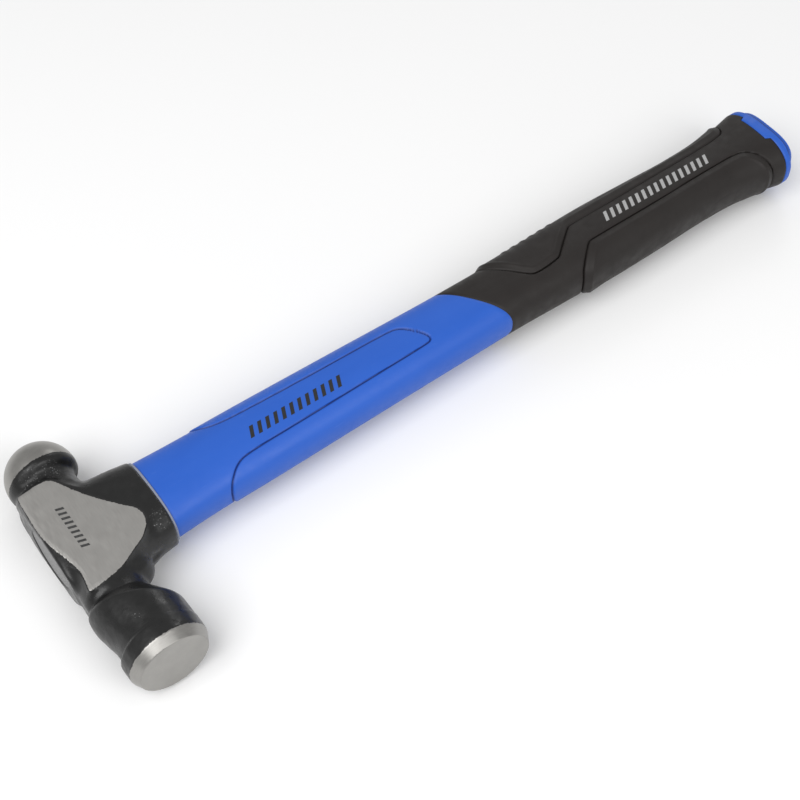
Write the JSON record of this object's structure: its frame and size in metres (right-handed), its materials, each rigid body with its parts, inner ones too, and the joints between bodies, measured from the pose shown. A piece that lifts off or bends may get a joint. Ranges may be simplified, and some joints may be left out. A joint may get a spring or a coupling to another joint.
{
  "type": "ball peen hammer",
  "caption": "Ball peen hammer with a forged head, a domed peen, a flat chamfered striking face and a jacketed fibreglass handle with a rubber grip.",
  "frame": {"origin": "middle of the flat striking face", "axes": "+X along the handle towards the butt, +Y along the head from the striking face to the ball, +Z out of the upper cheek, so the hammer lies on its side"},
  "size_m": [0.3551, 0.108, 0.031],
  "materials": {
    "forged_steel": "black painted forging, with the face, ball and cheeks ground bright",
    "epoxy": "cast, matt",
    "fibreglass": "pultruded",
    "blue_plastic": "moulded, satin",
    "grip_rubber": "moulded, matt"
  },
  "bodies": {
    "root": {"head": "forged_steel", "eye_resin": "epoxy", "skirt_seal": "epoxy", "rod": "fibreglass", "jacket": "blue_plastic", "butt_cap": "blue_plastic", "grip_sleeve": "grip_rubber", "ball_side_pad": "grip_rubber", "face_side_pad": "grip_rubber"}
  },
  "joints": []
}
